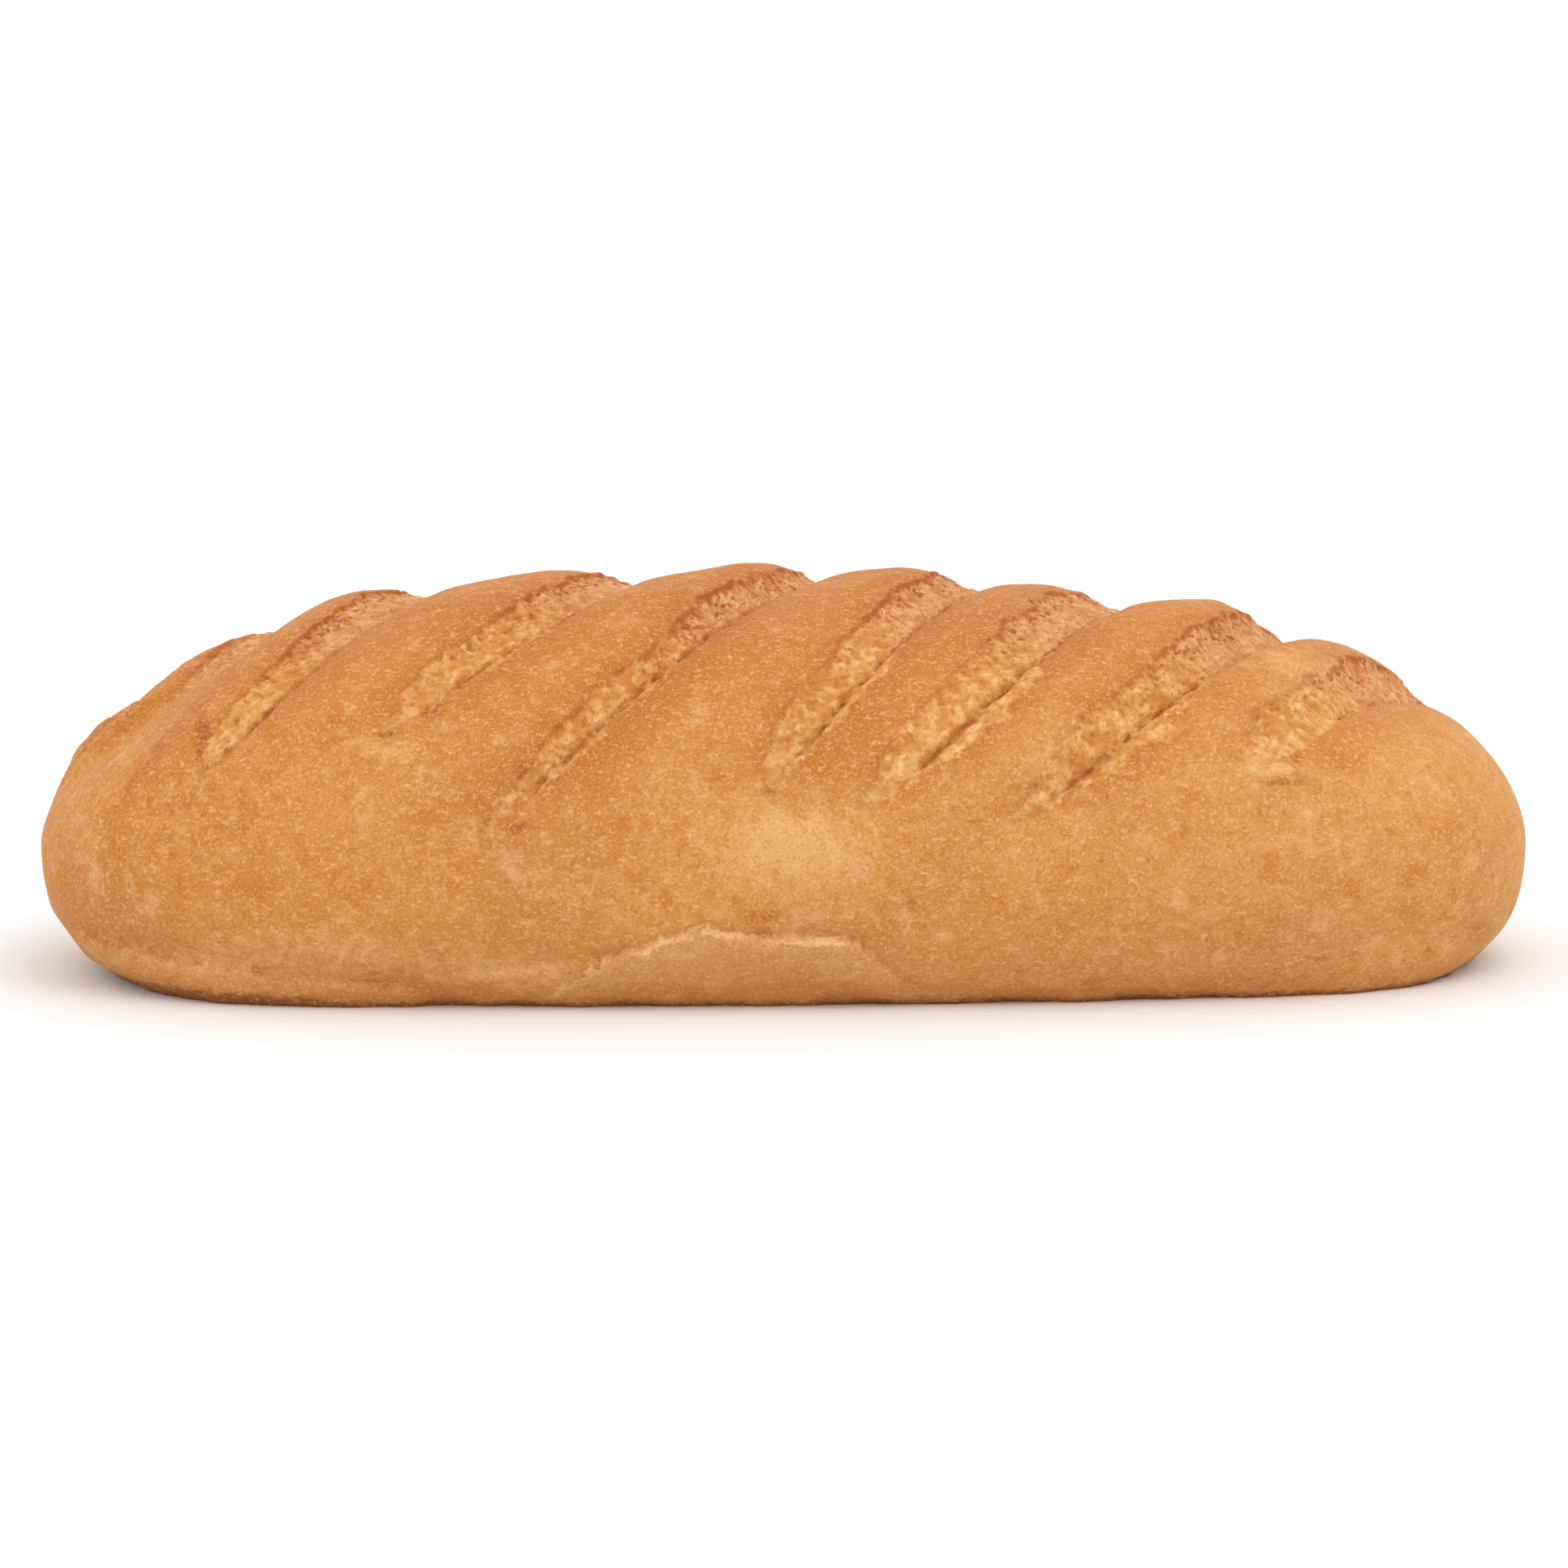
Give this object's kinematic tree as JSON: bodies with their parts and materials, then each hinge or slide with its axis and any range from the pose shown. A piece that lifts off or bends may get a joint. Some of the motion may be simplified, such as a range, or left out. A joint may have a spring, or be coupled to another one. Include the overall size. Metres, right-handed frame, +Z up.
{
  "type": "bloomer loaf",
  "caption": "Long oval loaf of white bread with a golden crust, diagonal scores torn open across its rounded top and a flat base to stand on.",
  "frame": {"origin": "middle of the flat base, on the surface the loaf rests on", "axes": "+X along the loaf, towards the end whose scores lean away from it; -Y the front; +Z up"},
  "size_m": [0.33, 0.138, 0.0887],
  "materials": {
    "crust": "matt golden-brown baked crust, browner along the torn edges and the base, with paler torn crumb in the scores"
  },
  "bodies": {
    "root": {"loaf": "crust"}
  },
  "joints": []
}
